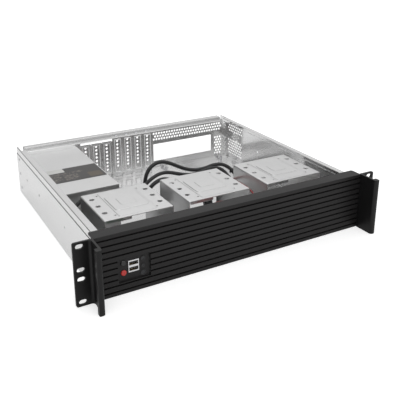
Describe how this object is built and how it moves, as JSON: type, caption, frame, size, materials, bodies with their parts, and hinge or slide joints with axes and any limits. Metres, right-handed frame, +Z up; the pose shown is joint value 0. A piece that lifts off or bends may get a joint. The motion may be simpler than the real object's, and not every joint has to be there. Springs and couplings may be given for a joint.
{
  "type": "rackmount server case",
  "caption": "Two-unit rackmount server case, open on top, with grooved front panel, ear handles, drive cages, a compact power supply and blanked rear slots.",
  "frame": {"origin": "centre of the case's overall box, at the underside of the floor", "axes": "+X to the right seen from the front, +Y from the front panel to the rear, +Z up"},
  "size_m": [0.4826, 0.432, 0.088],
  "materials": {
    "black_aluminium": "black anodised, satin",
    "black_gloss": "moulded, glossy",
    "black_paint": "black powder coat",
    "black_plastic": "moulded, matt",
    "cable_black": "flexible sheath",
    "cable_red": "flexible sheath",
    "cage_steel": "zinc-coated sheet steel, satin",
    "circuit_board": "solder-masked laminate",
    "clear_pipe": "clear moulded",
    "cover_steel": "bright zinc-coated strip",
    "label_film": "printed film, plain",
    "plated_shell": "tin-plated shell",
    "psu_steel": "zinc-coated sheet steel",
    "red_plastic": "moulded, glossy",
    "rubber_black": "matt",
    "screw_steel": "zinc-plated",
    "white_plastic": "moulded nylon",
    "zinc_steel": "zinc-coated sheet steel, satin"
  },
  "bodies": {
    "case": {"board_plug": "black_plastic", "cage_lead": "cable_black", "cage_plug": "black_plastic", "cage_screws": "screw_steel", "chassis_tray": "zinc_steel", "control_board": "circuit_board", "drive_cage_1": "cage_steel", "drive_cage_2": "cage_steel", "drive_cage_3": "cage_steel", "drive_lead": "cable_black", "drive_light_pipe": "clear_pipe", "drive_plug": "black_plastic", "ear_screws": "screw_steel", "front_bulkhead": "zinc_steel", "front_panel": "black_aluminium", "lamp_bezels": "black_plastic", "left_ear_handle": "black_paint", "main_lead": "cable_black", "main_plug": "white_plastic", "network_light_pipe": "clear_pipe", "panel_screws": "screw_steel", "power_light_pipe": "clear_pipe", "processor_lead": "cable_black", "processor_plug": "white_plastic", "psu_case": "psu_steel", "psu_cover": "psu_steel", "psu_fan_frame": "black_plastic", "psu_grommet": "rubber_black", "psu_inlet": "black_plastic", "psu_label": "label_film", "psu_screws": "screw_steel", "psu_switch_housing": "black_plastic", "rear_wall": "zinc_steel", "right_ear_handle": "black_paint", "sensor_lead": "cable_red", "sensor_plug": "black_plastic", "signal_lead": "cable_red", "signal_plug": "black_plastic", "slot_cover_1": "cover_steel", "slot_cover_2": "cover_steel", "slot_cover_3": "cover_steel", "slot_cover_4": "cover_steel", "slot_cover_5": "cover_steel", "slot_cover_6": "cover_steel", "slot_cover_7": "cover_steel", "slot_foot_rail": "zinc_steel", "slot_screws": "screw_steel", "standoffs": "screw_steel", "tact_switches": "black_plastic", "usb_shell": "plated_shell", "usb_tongues": "black_plastic", "wall_rivets": "screw_steel"},
    "power_button": {"power_button": "black_gloss"},
    "reset_button": {"reset_button": "red_plastic"},
    "psu_fan": {"psu_fan_rotor": "black_plastic"},
    "psu_rocker": {"psu_rocker": "black_gloss"}
  },
  "joints": [
    {"name": "power_button_press", "type": "slide", "parent": "case", "child": "power_button", "axis": [0, 1, 0], "range_m": [0, 0.001], "stiffness_N_per_m": 400},
    {"name": "reset_button_press", "type": "slide", "parent": "case", "child": "reset_button", "axis": [0, 1, 0], "range_m": [0, 0.001], "stiffness_N_per_m": 400},
    {"name": "psu_fan_spin", "type": "hinge", "parent": "case", "child": "psu_fan", "pos_m": [-0.1735, 0.182, 0.0376], "axis": [0, 1, 0], "continuous": true},
    {"name": "psu_rocker_tilt", "type": "hinge", "parent": "case", "child": "psu_rocker", "pos_m": [-0.126, 0.1916, 0.0452], "axis": [1, 0, 0], "range_deg": [0, 16]}
  ]
}
